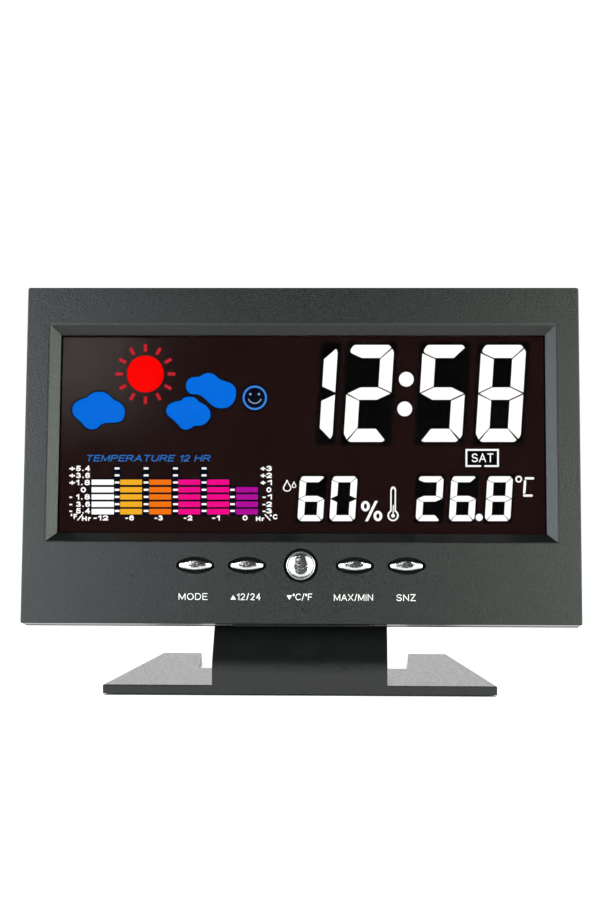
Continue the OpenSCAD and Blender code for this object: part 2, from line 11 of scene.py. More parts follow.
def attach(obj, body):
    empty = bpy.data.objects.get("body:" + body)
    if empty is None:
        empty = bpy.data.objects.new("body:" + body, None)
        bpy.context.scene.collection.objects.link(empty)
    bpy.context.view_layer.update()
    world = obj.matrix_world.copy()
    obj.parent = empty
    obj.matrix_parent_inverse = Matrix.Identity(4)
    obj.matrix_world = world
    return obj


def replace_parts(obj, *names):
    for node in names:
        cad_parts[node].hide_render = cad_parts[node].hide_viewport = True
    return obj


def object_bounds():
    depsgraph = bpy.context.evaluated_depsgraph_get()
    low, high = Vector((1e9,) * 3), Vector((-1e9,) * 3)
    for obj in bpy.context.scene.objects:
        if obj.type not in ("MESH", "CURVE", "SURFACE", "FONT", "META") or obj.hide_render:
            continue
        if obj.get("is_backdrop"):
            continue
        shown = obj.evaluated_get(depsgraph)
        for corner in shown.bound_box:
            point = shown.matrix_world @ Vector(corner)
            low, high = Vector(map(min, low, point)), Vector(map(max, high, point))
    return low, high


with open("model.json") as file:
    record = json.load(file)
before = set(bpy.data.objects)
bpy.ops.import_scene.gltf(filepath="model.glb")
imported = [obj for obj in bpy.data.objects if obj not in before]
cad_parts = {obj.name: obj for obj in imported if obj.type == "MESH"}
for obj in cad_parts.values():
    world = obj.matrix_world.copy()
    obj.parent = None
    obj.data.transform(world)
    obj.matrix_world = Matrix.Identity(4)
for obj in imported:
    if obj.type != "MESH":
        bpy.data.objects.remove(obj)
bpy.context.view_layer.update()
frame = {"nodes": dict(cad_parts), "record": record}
nodes = frame["nodes"]
scene = bpy.context.scene
MM = 0.001

# ---------------------------------------------------------------- places
# the case leans back about its lower front edge: x to the right, u up the face, w out of it
LEAN = math.radians(12.5)
CORNER = Vector((0.0, -18.6, 18.5))
AXIS_X = Vector((1.0, 0.0, 0.0))
AXIS_U = Vector((0.0, math.sin(LEAN), math.cos(LEAN)))
AXIS_W = Vector((0.0, -math.cos(LEAN), math.sin(LEAN)))
EYE = Vector((17.233, -634.199, 112.631))
AIM = Euler((math.radians(90 - 4.2059), 0.0, math.radians(1.614)))
FOCAL = 2226.32
RIGHT, UP, BACK = (AIM.to_matrix() @ Vector(v) for v in ((1, 0, 0), (0, 1, 0), (0, 0, 1)))


def at(x, u, w):
    """A point of the case, in metres."""
    return (CORNER + AXIS_X * x + AXIS_U * u + AXIS_W * w) * MM


def seen(px, py, w):
    """Where the camera's picture point falls on the case's plane at height w, as (x, u) in mm."""
    ray = RIGHT * (px - 300) - UP * (py - 450) - BACK * FOCAL
    t = (CORNER + AXIS_W * w - EYE).dot(AXIS_W) / ray.dot(AXIS_W)
    p = EYE + ray * t - CORNER
    return p.dot(AXIS_X), p.dot(AXIS_U)


def drawn(x, u, w):
    """The camera's picture point of a case point in mm, the other way round."""
    p = CORNER + AXIS_X * x + AXIS_U * u + AXIS_W * w - EYE
    k = -FOCAL / p.dot(BACK)
    return 300 + p.dot(RIGHT) * k, 450 - p.dot(UP) * k


# ---------------------------------------------------------------- finishes
def surface(name, low, high, rough, *, metal=0.0, grain=700.0, detail=4.0, bump=0.0, bump_grain=2600.0,
            ior=1.5, coat=0.0, glow=None, glow_power=0.0, stretch=None, alpha=1.0, clear=0.0, level=0.5, deep=0.00012, plain=None):
    """One principled finish whose colour runs between low and high over a noise, with rough's range over another."""
    m = bpy.data.materials.new(name)
    m.use_nodes = True
    t = m.node_tree
    p = t.nodes["Principled BSDF"]
    p.inputs["Metallic"].default_value = metal
    p.inputs["IOR"].default_value = ior
    p.inputs["Coat Weight"].default_value = coat
    p.inputs["Coat Roughness"].default_value = 0.12
    p.inputs["Alpha"].default_value = alpha
    p.inputs["Transmission Weight"].default_value = clear
    p.inputs["Specular IOR Level"].default_value = level
    place = t.nodes.new("ShaderNodeTexCoord")
    where = place.outputs["Object"]
    if stretch:
        mapping = t.nodes.new("ShaderNodeMapping")
        mapping.inputs["Scale"].default_value = stretch
        t.links.new(where, mapping.inputs["Vector"])
        where = mapping.outputs["Vector"]
    noise = t.nodes.new("ShaderNodeTexNoise")
    noise.inputs["Scale"].default_value = grain
    noise.inputs["Detail"].default_value = detail
    t.links.new(where, noise.inputs["Vector"])
    ramp = t.nodes.new("ShaderNodeValToRGB")
    ramp.color_ramp.elements[0].position = 0.32
    ramp.color_ramp.elements[1].position = 0.68
    ramp.color_ramp.elements[0].color = (*low, 1)
    ramp.color_ramp.elements[1].color = (*high, 1)
    t.links.new(noise.outputs["Fac"], ramp.inputs["Fac"])
    t.links.new(ramp.outputs["Color"], p.inputs["Base Color"])
    spread = t.nodes.new("ShaderNodeMapRange")
    spread.inputs["From Min"].default_value = 0.3
    spread.inputs["From Max"].default_value = 0.7
    spread.inputs["To Min"].default_value = rough[0]
    spread.inputs["To Max"].default_value = rough[1]
    t.links.new(noise.outputs["Fac"], spread.inputs["Value"])
    rough_out = spread.outputs["Result"]
    if plain:
        # walls that face one way are smooth, without the moulded grain
        facing, turned = t.nodes.new("ShaderNodeVectorMath"), t.nodes.new("ShaderNodeMapRange")
        facing.operation = "DOT_PRODUCT"
        facing.inputs[1].default_value = plain[0]
        t.links.new(place.outputs["Normal"], facing.inputs[0])
        for key, v in (("From Min", 0.85), ("From Max", 0.97), ("To Min", 1.0), ("To Max", 0.0)):
            turned.inputs[key].default_value = v
        t.links.new(facing.outputs["Value"], turned.inputs["Value"])
        even = t.nodes.new("ShaderNodeMapRange")
        even.inputs["To Min"].default_value = plain[1]
        t.links.new(turned.outputs["Result"], even.inputs["Value"])
        t.links.new(rough_out, even.inputs["To Max"])
        rough_out = even.outputs["Result"]
    t.links.new(rough_out, p.inputs["Roughness"])
    if bump:
        fine = t.nodes.new("ShaderNodeTexNoise")
        fine.inputs["Scale"].default_value = bump_grain
        fine.inputs["Detail"].default_value = 2.0
        t.links.new(where, fine.inputs["Vector"])
        relief = t.nodes.new("ShaderNodeBump")
        relief.inputs["Strength"].default_value = bump
        relief.inputs["Distance"].default_value = deep
        t.links.new(fine.outputs["Fac"], relief.inputs["Height"])
        if plain:
            t.links.new(turned.outputs["Result"], relief.inputs["Strength"])
        t.links.new(relief.outputs["Normal"], p.inputs["Normal"])
    if glow:
        shine = t.nodes.new("ShaderNodeValToRGB")
        shine.color_ramp.elements[0].position = 0.2
        shine.color_ramp.elements[1].position = 0.75
        shine.color_ramp.elements[0].color = (*glow[0], 1)
        shine.color_ramp.elements[1].color = (*glow[1], 1)
        t.links.new(noise.outputs["Fac"], shine.inputs["Fac"])
        t.links.new(shine.outputs["Color"], p.inputs["Emission Color"])
        p.inputs["Emission Strength"].default_value = glow_power
    return m


def linear(r, g, b):
    """Screen colour, 0 to 255, as a linear one."""
    return tuple((c / 255 / 12.92) if c <= 10 else ((c / 255 + 0.055) / 1.055) ** 2.4 for c in (r, g, b))


def lit(name, r, g, b, power=1.0):
    """A lit part of the display in that screen colour, a little uneven."""
    c = linear(r, g, b)
    return surface(name, (0.001, 0.001, 0.001), (0.0015, 0.0015, 0.0015), (0.35, 0.5), grain=260.0,
                   glow=(tuple(v * 0.94 for v in c), c), glow_power=power, level=0.0)


case_black = surface("case_black", (0.0005, 0.0006, 0.0006), (0.004, 0.0046, 0.0044), (0.27, 0.49), grain=2400.0, detail=3.0, bump=1.0, bump_grain=3500.0, deep=0.000094, plain=(tuple(-AXIS_U), 0.26))
stand_black = surface("stand_black", (0.0012, 0.0014, 0.0013), (0.0024, 0.0028, 0.0027), (0.28, 0.46), grain=2600.0, detail=3.0, bump=0.7, bump_grain=2600.0)
finish_of = {
    "case_black": case_black,
    "stand_black": stand_black,
    "pane": surface("pane", (0.90, 0.88, 0.87), (0.94, 0.92, 0.91), (0.06, 0.10), grain=40.0, clear=1.0, ior=1.04),
    "gasket": surface("gasket", (0.008, 0.008, 0.008), (0.02, 0.02, 0.02), (0.75, 0.95), grain=1800.0, bump=0.6, bump_grain=2200.0),
    "lcd_glass": surface("lcd_glass", (0.0008, 0.0006, 0.0006), (0.0012, 0.0010, 0.0010), (0.06, 0.10), grain=60.0,
                         glow=(linear(26, 10, 9), linear(30, 13, 12)), glow_power=1.0, level=0.25),
    "film": surface("film", (0.25, 0.10, 0.35), (0.45, 0.25, 0.55), (0.25, 0.4), grain=90.0),
    "light_guide": surface("light_guide", (0.78, 0.84, 0.9), (0.88, 0.92, 0.96), (0.1, 0.2), grain=300.0, coat=0.4),
    "white_sheet": surface("white_sheet", (0.80, 0.80, 0.79), (0.90, 0.90, 0.89), (0.45, 0.6), grain=500.0, bump=0.1),
    "led": surface("led", (0.85, 0.74, 0.25), (0.95, 0.88, 0.45), (0.3, 0.4), grain=1500.0, coat=0.3),
    "white_plastic": surface("white_plastic", (0.74, 0.74, 0.72), (0.84, 0.84, 0.82), (0.38, 0.5), grain=900.0, bump=0.12),
    "elastomer": surface("elastomer", (0.50, 0.26, 0.30), (0.80, 0.55, 0.58), (0.55, 0.7), grain=500.0, stretch=(6, 1, 1)),
    "board_green": surface("board_green", (0.012, 0.11, 0.04), (0.03, 0.20, 0.075), (0.22, 0.4), grain=420.0, detail=6.0, bump=0.18, bump_grain=900.0, coat=0.3),
    "screw_steel": surface("screw_steel", (0.50, 0.50, 0.50), (0.66, 0.65, 0.62), (0.24, 0.42), metal=1.0, grain=1500.0, bump=0.08),
    "resin": surface("resin", (0.010, 0.010, 0.011), (0.022, 0.022, 0.022), (0.15, 0.3), grain=350.0, bump=0.25, bump_grain=420.0, coat=0.4),
    "can_metal": surface("can_metal", (0.62, 0.62, 0.64), (0.76, 0.76, 0.77), (0.2, 0.34), metal=1.0, grain=900.0, stretch=(1, 1, 8)),
    "capacitor_sleeve": surface("capacitor_sleeve", (0.02, 0.03, 0.11), (0.04, 0.05, 0.18), (0.3, 0.4), grain=500.0, coat=0.3),
    "connector_plastic": surface("connector_plastic", (0.70, 0.66, 0.52), (0.80, 0.76, 0.64), (0.4, 0.55), grain=900.0, bump=0.1),
    "switch_black": surface("switch_black", (0.012, 0.012, 0.013), (0.028, 0.028, 0.029), (0.35, 0.5), grain=1400.0, bump=0.15),
    "chrome": surface("chrome", (0.58, 0.59, 0.60), (0.72, 0.72, 0.73), (0.05, 0.13), metal=1.0, grain=1800.0, detail=4.0, bump=0.6, bump_grain=1700.0),
    "sensor_blue": surface("sensor_blue", (0.03, 0.13, 0.42), (0.06, 0.21, 0.58), (0.38, 0.5), grain=800.0, bump=0.1),
    "wire_red": surface("wire_red", (0.38, 0.012, 0.012), (0.52, 0.025, 0.022), (0.4, 0.52), grain=700.0, bump=0.1),
    "wire_black": surface("wire_black", (0.012, 0.012, 0.012), (0.026, 0.026, 0.026), (0.4, 0.52), grain=700.0, bump=0.1),
    "contact_nickel": surface("contact_nickel", (0.60, 0.58, 0.53), (0.74, 0.72, 0.67), (0.2, 0.36), metal=1.0, grain=900.0, stretch=(1, 6, 1)),
    "cell_wrap": surface("cell_wrap", (0.058, 0.185, 0.102), (0.068, 0.205, 0.115), (0.25, 0.36), grain=900.0, coat=0.5),
    "foot_rubber": surface("foot_rubber", (0.012, 0.012, 0.012), (0.028, 0.028, 0.027), (0.7, 0.9), grain=1300.0, bump=0.3),
}
for part in frame["record"]["subparts"]:
    piece = nodes[part["node"]]
    piece.data.materials.clear()
    piece.data.materials.append(finish_of[part["material_slot"]])


# ---------------------------------------------------------------- plated key caps
def oval_edge(a, b, count):
    """Outline of an oval of four arcs, half length a and half height b, as points at even steps."""
    r = b * 0.5
    big = ((a - r) ** 2 + b * b - r * r) / (2 * (b - r))
    turn = (a - r) * big / (big - r)
    out = []
    for k in range(count):
        s = 2 * math.pi * (k + 0.5) / count
        d = Vector((a * math.cos(s), b * math.sin(s))).normalized()
        sign = 1 if d.y >= 0 else -1
        c = Vector((0.0, -sign * (big - b)))
        h = d.dot(c)
        p = d * (h + math.sqrt(h * h - c.length_squared + big * big))
        if abs(p.x) > turn:
            c = Vector((math.copysign(a - r, d.x), 0.0))
            h = d.dot(c)
            p = d * (h + math.sqrt(h * h - c.length_squared + r * r))
        out.append(p)
    return out


def round_edge(r, count):
    return [Vector((r * math.cos(2 * math.pi * (k + 0.5) / count), r * math.sin(2 * math.pi * (k + 0.5) / count))) for k in range(count)]


def cap(name, x, rings, top):
    """A closed cap lofted through rings, each (outline, height or heights), from the crown's edge down to the stem, with its middle at top."""
    bm = bmesh.new()
    rows = [[bm.verts.new(at(x + p.x, 16.5 + p.y, w[k] if isinstance(w, list) else w)) for k, p in enumerate(outline)] for outline, w in rings]
    crown = bm.verts.new(at(x, 16.5, top))
    foot = bm.verts.new(at(x, 16.5, rings[-1][1]))
    n = len(rows[0])
    for k in range(n):
        j = (k + 1) % n
        bm.faces.new((crown, rows[0][k], rows[0][j]))
        bm.faces.new((foot, rows[-1][j], rows[-1][k]))
        for a, b in zip(rows, rows[1:]):
            bm.faces.new((a[k], b[k], b[j], a[j]))
    bmesh.ops.recalc_face_normals(bm, faces=bm.faces)
    me = bpy.data.meshes.new(name)
    bm.to_mesh(me)
    bm.free()
    me.polygons.foreach_set("use_smooth", [True] * len(me.polygons))
    me.set_sharp_from_angle(angle=math.radians(40))
    ob = bpy.data.objects.new(name, me)
    scene.collection.objects.link(ob)
    me.materials.append(finish_of["chrome"])
    me.materials.append(cap_core_gap_shade)
    # faces well below the face take the near-black finish, painted shade in the gap round the cap
    for face in me.polygons:
        if (face.center / MM - CORNER).dot(AXIS_W) < -0.42:
            face.material_index = 1
    return ob


def scaled(outline, s):
    return [p * s for p in outline]


def crown(outline, low, rise, t, along, above, below):
    """Heights round a ring at share t of a crown that falls off by t to the power along in x, and above or below in u."""
    long, tall = (max(p[k] for p in outline) for k in (0, 1))
    out = []
    for p in outline:
        a, b = (p.x / long) ** 2, (p.y / tall) ** 2
        out.append(low + rise * (1 - (a * t ** along + b * t ** (above if p.y > 0 else below)) / (a + b)))
    return out


# near-black finish for the caps' sides below the face: the unplated core, kept dark as painted shade for the gap round
# each cap
cap_core_gap_shade = surface("cap_core_gap_shade", (0.0012, 0.0012, 0.0013), (0.004, 0.004, 0.004), (0.5, 0.65), grain=1500.0, bump=0.15, level=0.3)
COUNT = 96
KEYS = (("mode", -29.6), ("up", -15.1), ("memory", 15.1), ("snooze", 29.6))
rim = oval_edge(4.6, 1.65, COUNT)
for key, x in KEYS:
    rings = []
    for k in range(1, 19):
        s = k / 18 * 0.965
        rings.append((scaled(rim, s), crown(rim, 0.14, 0.95, k / 18, 3.0, 11.0, 5.0)))
    rings += [(scaled(rim, 0.985), 0.06), (rim, -0.10), (rim, -0.40), (rim, -2.15)]
    rings += [(oval_edge(6.0, 3.05, COUNT), -2.15), (oval_edge(6.0, 3.05, COUNT), -3.15)]
    rings += [(round_edge(1.8, COUNT), -3.15), (round_edge(1.8, COUNT), -5.2)]
    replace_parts(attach(cap(f"{key}_cap", x, rings, 1.09), f"{key}_key"), f"{key}_button")
rings = []
for k in range(1, 21):
    s = k / 20 * 0.86
    rings.append((round_edge(4.05 * s, COUNT), crown(round_edge(4.05, COUNT), 0.44, 0.76, k / 20, 2.5, 12.0, 12.0)))
rings += [(round_edge(4.05 * s, COUNT), w) for s, w in ((0.87, 0.50), (0.878, 0.20), (0.893, 0.20), (0.901, 0.42), (0.92, 0.53), (0.945, 0.55), (0.97, 0.51), (0.99, 0.40), (1.0, 0.22), (1.0, -0.40), (1.0, -2.15))]
rings += [(round_edge(5.45, COUNT), -2.15), (round_edge(5.45, COUNT), -3.15), (round_edge(1.8, COUNT), -3.15), (round_edge(1.8, COUNT), -5.2)]
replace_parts(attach(cap("down_cap", 0.0, rings, 1.20), "down_key"), "down_button")


# ---------------------------------------------------------------- raised arrow on the battery door, showing which way it slides
bm = bmesh.new()
ARROW = ((-2.6, 66.4), (2.6, 66.4), (0.0, 70.6))
rows = [[bm.verts.new(at(x * s, 67.8 + (u - 67.8) * s, w)) for x, u in ARROW] for s, w in ((1.0, -26.37), (1.0, -26.50), (0.86, -26.60))]
bm.faces.new(rows[0])
bm.faces.new(rows[-1])
for a, b in zip(rows, rows[1:]):
    for k in range(3):
        bm.faces.new((a[k], b[k], b[(k + 1) % 3], a[(k + 1) % 3]))
bmesh.ops.recalc_face_normals(bm, faces=bm.faces)
me = bpy.data.meshes.new("door_arrow")
bm.to_mesh(me)
bm.free()
me.materials.append(case_black)
arrow = bpy.data.objects.new("door_arrow", me)
scene.collection.objects.link(arrow)
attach(arrow, "battery_door")


# ---------------------------------------------------------------- flat shapes: display picture and legends
class Ink:
    """Thin flat shapes on one plane of the case, gathered into one piece. Shapes are given as picture points."""

    def __init__(self, low, high):
        self.low, self.high, self.verts, self.faces = low, high, [], []

    def _point(self, p, top):
        x, u = seen(p[0], p[1], self.high)
        self.verts.append(at(x, u, self.high if top else self.low))

    def shape(self, outer, *holes):
        loops = [[Vector((p[0], p[1], 0.0)) for p in loop] for loop in (outer, *holes)]
        flat = [p for loop in loops for p in loop]
        base, n = len(self.verts), len(flat)
        for top in (True, False):
            for p in flat:
                self._point(p, top)
        for tri in tessellate_polygon(loops):
            a, b, c = (flat[i] for i in tri)
            area = (b.x - a.x) * (c.y - a.y) - (b.y - a.y) * (c.x - a.x)
            if abs(area) < 1e-6:
                continue
            i = tri if area < 0 else tri[::-1]
            self.faces.append([base + k for k in i])
            self.faces.append([base + n + k for k in reversed(i)])
        start = base
        for loop in loops:
            m = len(loop)
            for k in range(m):
                j = (k + 1) % m
                self.faces.append([start + k, start + j, start + n + j, start + n + k])
            start += m

    def ring(self, x, y, outer, inner, count=48):
        self.shape(disc(x, y, outer, count), disc(x, y, inner, count))

    def stroke(self, points, wide, closed=False):
        """A line of even width along the points, split at its sharp corners, its open ends drawn out by half the width."""
        pts = [Vector(p) for p in points]
        n = len(pts)
        sharp = [k for k in range(n) if (closed or 0 < k < n - 1) and (pts[k] - pts[k - 1]).angle(pts[(k + 1) % n] - pts[k]) > 0.75]
        if closed and sharp:
            pts = pts[sharp[0]:] + pts[:sharp[0] + 1]
            sharp, closed = [k - sharp[0] for k in sharp[1:]], False
        if closed:
            sides = self._sides(pts, wide, True)
            big, little = sides if abs(area_of(sides[0])) > abs(area_of(sides[1])) else sides[::-1]
            self.shape(big, little)
            return
        cuts = [0, *sharp, len(pts) - 1]
        for first, last in zip(cuts, cuts[1:]):
            run = pts[first:last + 1]
            run[0] = run[0] + (run[0] - run[1]).normalized() * wide / 2
            run[-1] = run[-1] + (run[-1] - run[-2]).normalized() * wide / 2
            one, other = self._sides(run, wide, False)
            self.shape(one + other[::-1])

    @staticmethod
    def _sides(pts, wide, closed):
        n, sides = len(pts), ([], [])
        for k in range(n):
            before = pts[k] - pts[k - 1] if closed or k else pts[1] - pts[0]
            after = pts[(k + 1) % n] - pts[k] if closed or k < n - 1 else before
            a, b = Vector((-before.y, before.x)).normalized(), Vector((-after.y, after.x)).normalized()
            m = (a + b) / (1 + a.dot(b))
            for side, sign in zip(sides, (1, -1)):
                side.append(tuple(pts[k] + m * sign * wide / 2))
        return sides

    def words(self, text, x0, y0, x1, y1, wide, lean=0.0, gap=0.2):
        """Stroke letters that fill a box of the picture, top left x0, y0 to bottom right x1, y1."""
        scale = (x1 - x0) / (sum(LETTERS[c][0] for c in text) + gap * (len(text) - 1))
        x = x0
        for c in text:
            room = LETTERS[c][0] * scale
            for points, closed in LETTERS[c][1]:
                spots = [(x + wide / 2 + px * max(0.0, room - wide), y1 - wide / 2 - py * (y1 - y0 - wide)) for px, py in points]
                self.stroke([(px + lean * (y1 - py), py) for px, py in spots], wide, closed)
            x += room + gap * scale

    def done(self, name, material):
        me = bpy.data.meshes.new(name)
        me.from_pydata(self.verts, [], self.faces)
        bm = bmesh.new()
        bm.from_mesh(me)
        bmesh.ops.remove_doubles(bm, verts=bm.verts, dist=1e-7)
        bmesh.ops.recalc_face_normals(bm, faces=bm.faces)
        bm.to_mesh(me)
        bm.free()
        ob = bpy.data.objects.new(name, me)
        scene.collection.objects.link(ob)
        me.materials.append(material)
        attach(ob, "case")
        return ob


def disc(x, y, r, count=48):
    return [(x + r * math.cos(2 * math.pi * k / count), y + r * math.sin(2 * math.pi * k / count)) for k in range(count)]


def box(x0, y0, x1, y1, r=0.0):
    return rounded([(x0, y0), (x1, y0), (x1, y1), (x0, y1)], [r] * 4)


def rounded(points, radii, steps=5):
    """A closed outline with each corner rounded by its radius."""
    out, n = [], len(points)
    for k in range(n):
        p = Vector(points[k])
        a, b = Vector(points[k - 1]) - p, Vector(points[(k + 1) % n]) - p
        r = radii[k]
        if r <= 0:
            out.append(tuple(p))
            continue
        half = a.angle(b) / 2
        cut = min(r / math.tan(half), a.length * 0.48, b.length * 0.48)
        p0, p1 = p + a.normalized() * cut, p + b.normalized() * cut
        for i in range(steps + 1):
            t = i / steps
            out.append(tuple(p0 * (1 - t) ** 2 + p * 2 * t * (1 - t) + p1 * t * t))
    return out


def bar(p, q, width):
    """A straight stroke with square ends."""
    p, q = Vector(p), Vector(q)
    side = Vector((-(q - p).y, (q - p).x)).normalized() * width / 2
    return [tuple(v) for v in (p + side, q + side, q - side, p - side)]


def smooth(points, steps=6):
    """A closed soft outline through the points."""
    out, n = [], len(points)
    for k in range(n):
        a, b, c, d = (Vector(points[(k + i) % n]) for i in (-1, 0, 1, 2))
        for i in range(steps):
            t = i / steps
            out.append(tuple(0.5 * (2 * b + (c - a) * t + (2 * a - 5 * b + 4 * c - d) * t * t + (3 * b - a - 3 * c + d) * t ** 3)))
    return out


def arc(x, y, r, start, end, width, steps=16):
    """A bent stroke, angles in degrees, clockwise from the right in the picture."""
    turn = [math.radians(start + (end - start) * k / steps) for k in range(steps + 1)]
    return [(x + (r + width / 2) * math.cos(a), y + (r + width / 2) * math.sin(a)) for a in turn] + \
           [(x + (r - width / 2) * math.cos(a), y + (r - width / 2) * math.sin(a)) for a in reversed(turn)]


def area_of(points):
    return sum(points[k - 1][0] * points[k][1] - points[k][0] * points[k - 1][1] for k in range(len(points))) / 2


def grown(points, by):
    """A closed outline moved outwards."""
    sign = 1 if area_of(points) > 0 else -1
    out, n = [], len(points)
    for k in range(n):
        d = Vector(points[(k + 1) % n]) - Vector(points[k - 1])
        out.append(tuple(Vector(points[k]) + Vector((d.y, -d.x)).normalized() * by * sign))
    return out


def bow(x, y, rx, ry, start, end, steps=12):
    return [(x + rx * math.cos(math.radians(start + (end - start) * k / steps)), y + ry * math.sin(math.radians(start + (end - start) * k / steps))) for k in range(steps + 1)]


def hoop(x, y, rx, ry):
    return bow(x, y, rx, ry, 0, 345, 23), True


# letters as strokes in a unit box: width, then lines and whether each is closed
LETTERS = {
    " ": (.3, []),
    "A": (.86, [([(0, 0), (.5, 1), (1, 0)], False), ([(.22, .32), (.78, .32)], False)]),
    "C": (.84, [(bow(.53, .5, .53, .5, 44, 316), False)]),
    "D": (.80, [([(0, 0), (0, 1), (.42, 1)] + bow(.46, .5, .54, .5, 80, -80) + [(.42, 0)], True)]),
    "E": (.68, [([(1, 1), (0, 1), (0, 0), (1, 0)], False), ([(0, .52), (.88, .52)], False)]),
    "F": (.64, [([(0, 0), (0, 1), (1, 1)], False), ([(0, .5), (.84, .5)], False)]),
    "H": (.78, [([(0, 0), (0, 1)], False), ([(1, 0), (1, 1)], False), ([(0, .5), (1, .5)], False)]),
    "I": (.17, [([(.5, 0), (.5, 1)], False)]),
    "M": (.94, [([(0, 0), (0, 1), (.5, .08), (1, 1), (1, 0)], False)]),
    "N": (.80, [([(0, 0), (0, 1), (1, 0), (1, 1)], False)]),
    "O": (.92, [hoop(.5, .5, .5, .5)]),
    "P": (.74, [([(0, 0), (0, 1), (.55, 1)] + bow(.58, .74, .42, .26, 80, -80) + [(.55, .48), (0, .48)], False)]),
    "R": (.80, [([(0, 0), (0, 1), (.55, 1)] + bow(.56, .74, .40, .26, 80, -80) + [(.5, .48), (0, .48)], False), ([(.5, .48), (1, 0)], False)]),
    "S": (.76, [(bow(.5, .745, .46, .255, 25, 262) + bow(.5, .25, .5, .25, 82, -158), False)]),
    "T": (.74, [([(0, 1), (1, 1)], False), ([(.5, 0), (.5, 1)], False)]),
    "U": (.80, [([(0, 1), (0, .42)] + bow(.5, .40, .5, .40, 190, 350) + [(1, .42), (1, 1)], False)]),
    "X": (.80, [([(0, 0), (1, 1)], False), ([(0, 1), (1, 0)], False)]),
    "Z": (.74, [([(0, 1), (1, 1), (0, 0), (1, 0)], False)]),
    "r": (.45, [([(0, 0), (0, .68)], False), ([(0, .36), (.3, .62), (1, .68)], False)]),
    "0": (.62, [hoop(.5, .5, .5, .5)]),
    "1": (.34, [([(0, .76), (1, 1), (1, 0)], False)]),
    "2": (.62, [(bow(.5, .70, .5, .30, 165, -28) + [(0, 0), (1, 0)], False)]),
    "3": (.62, [(bow(.46, .755, .44, .245, 150, -80), False), (bow(.46, .26, .54, .26, 85, -150), False)]),
    "4": (.66, [([(.76, 0), (.76, 1), (0, .3), (1, .3)], False)]),
    "5": (.62, [([(.94, 1), (.16, 1), (.06, .5)] + bow(.47, .30, .53, .30, 120, -150), False)]),
    "6": (.62, [hoop(.5, .30, .5, .30), (bow(.52, .62, .52, .38, 40, 178) + [(0, .32)], False)]),
    "8": (.62, [hoop(.5, .755, .44, .245), hoop(.5, .255, .5, .255)]),
    "+": (.62, [([(0, .45), (1, .45)], False), ([(.5, .12), (.5, .78)], False)]),
    "-": (.36, [([(0, .42), (1, .42)], False)]),
    ".": (.20, [([(.5, 0), (.5, .03)], False)]),
    "/": (.40, [([(0, -.04), (1, 1.04)], False)]),
    "°": (.32, [hoop(.5, .84, .5, .16)]),
}


# seven-segment figures: corners as shares of a figure's width and height, tx and ty the stroke's shares
def segments(tx, ty):
    return {
        "a": [(0, .074, 1), (.10, 0, 1), (.89, 0, 1), (.938, .030, 0), (1 - tx, ty, 0), (tx, ty, 0)],
        "b": [(.957, .041, 0), (1, .068, 1), (1, .490, 0), (1 - tx, .428, 0), (1 - tx, ty + .013, 0)],
        "f": [(0, .088, 0), (tx, ty + .013, 0), (tx, .428, 0), (0, .493, 0)],
        "g": [(.026, .501, 0), (tx + .01, .438, 0), (1 - tx - .01, .438, 0), (.980, .501, 0), (1 - tx - .02, .566, 0), (tx - .01, .566, 0)],
        "e": [(0, .512, 0), (tx, .577, 0), (tx, 1 - ty - .012, 0), (.072, .975, 0), (0, .918, 1)],
        "c": [(1, .512, 0), (1, .930, 1), (.952, .968, 0), (1 - tx, 1 - ty - .008, 0), (1 - tx, .577, 0)],
        "d": [(.098, .987, 0), (tx, 1 - ty, 0), (1 - tx, 1 - ty, 0), (.914, .980, 0), (.87, 1, 1), (.15, 1, 1)],
    }


FIGURES = {"0": "abcdef", "1": "bc", "2": "abged", "5": "afgcd", "6": "afgedc", "8": "abcdefg"}


def figure(ink, text, left, top, wide, high, tx, ty, lean, r):
    for name in FIGURES[text]:
        part = segments(tx, ty)[name]
        points = [(left + wide * x - lean * (y - 0.5) * high, top + high * y) for x, y, _ in part]
        ink.shape(rounded(points, [r * k for _, _, k in part]))


MASK = (-4.695, -4.675)
LOW, HIGH = -4.66, -4.61
TIME = (("1", 290.2), ("2", 346.4), ("5", 419.9), ("8", 478.4))
MOIST = (("6", 298.7), ("0", 330.7))
WARM = (("2", 416.9), ("6", 450.2), ("8", 486.1))
CLOUDS = (
    ((72.3, 410.0), (74.6, 403.6), (81.0, 399.4), (86.6, 397.6), (91.6, 393.6), (97.6, 391.9), (104.2, 392.4), (109.6, 395.6), (113.6, 399.6), (119.6, 402.6), (123.8, 407.4), (124.8, 413.2), (122.6, 419.4), (117.6, 422.2), (109.6, 422.6), (103.6, 423.4), (100.2, 425.4), (96.2, 428.6), (90.8, 429.2), (85.4, 427.0), (80.6, 421.6), (74.6, 416.4)),
    ((186.0, 386.2), (187.6, 380.6), (192.0, 377.4), (199.2, 376.8), (202.8, 374.6), (208.0, 373.2), (214.0, 374.4), (218.0, 378.0), (223.6, 380.8), (230.4, 383.0), (235.0, 387.4), (236.0, 393.4), (234.6, 400.2), (230.2, 405.8), (223.4, 408.2), (215.6, 407.2), (209.8, 403.4), (204.6, 398.4), (198.4, 394.6), (191.0, 393.8), (187.2, 390.8)),
    ((166.2, 411.0), (168.2, 405.6), (173.2, 402.2), (180.4, 400.8), (184.2, 397.8), (190.4, 396.8), (195.8, 398.4), (199.4, 402.0), (205.8, 405.6), (209.8, 410.8), (210.4, 416.2), (207.4, 421.6), (201.8, 425.2), (194.4, 426.0), (190.4, 428.4), (185.6, 429.6), (181.0, 428.0), (177.6, 424.0), (172.8, 419.4), (168.0, 415.4)),
)
DROP = ((287.0, 479.6), (288.6, 482.6), (290.6, 485.8), (291.3, 488.0), (290.3, 490.4), (288.4, 491.4), (287.0, 491.6), (285.4, 491.3), (283.6, 490.2), (282.9, 487.9), (283.7, 485.6), (285.5, 482.5))
SMALL_DROP = [(294.0 + (x - 287.1) * 0.54, 484.7 + (y - 485.8) * 0.56) for x, y in DROP]

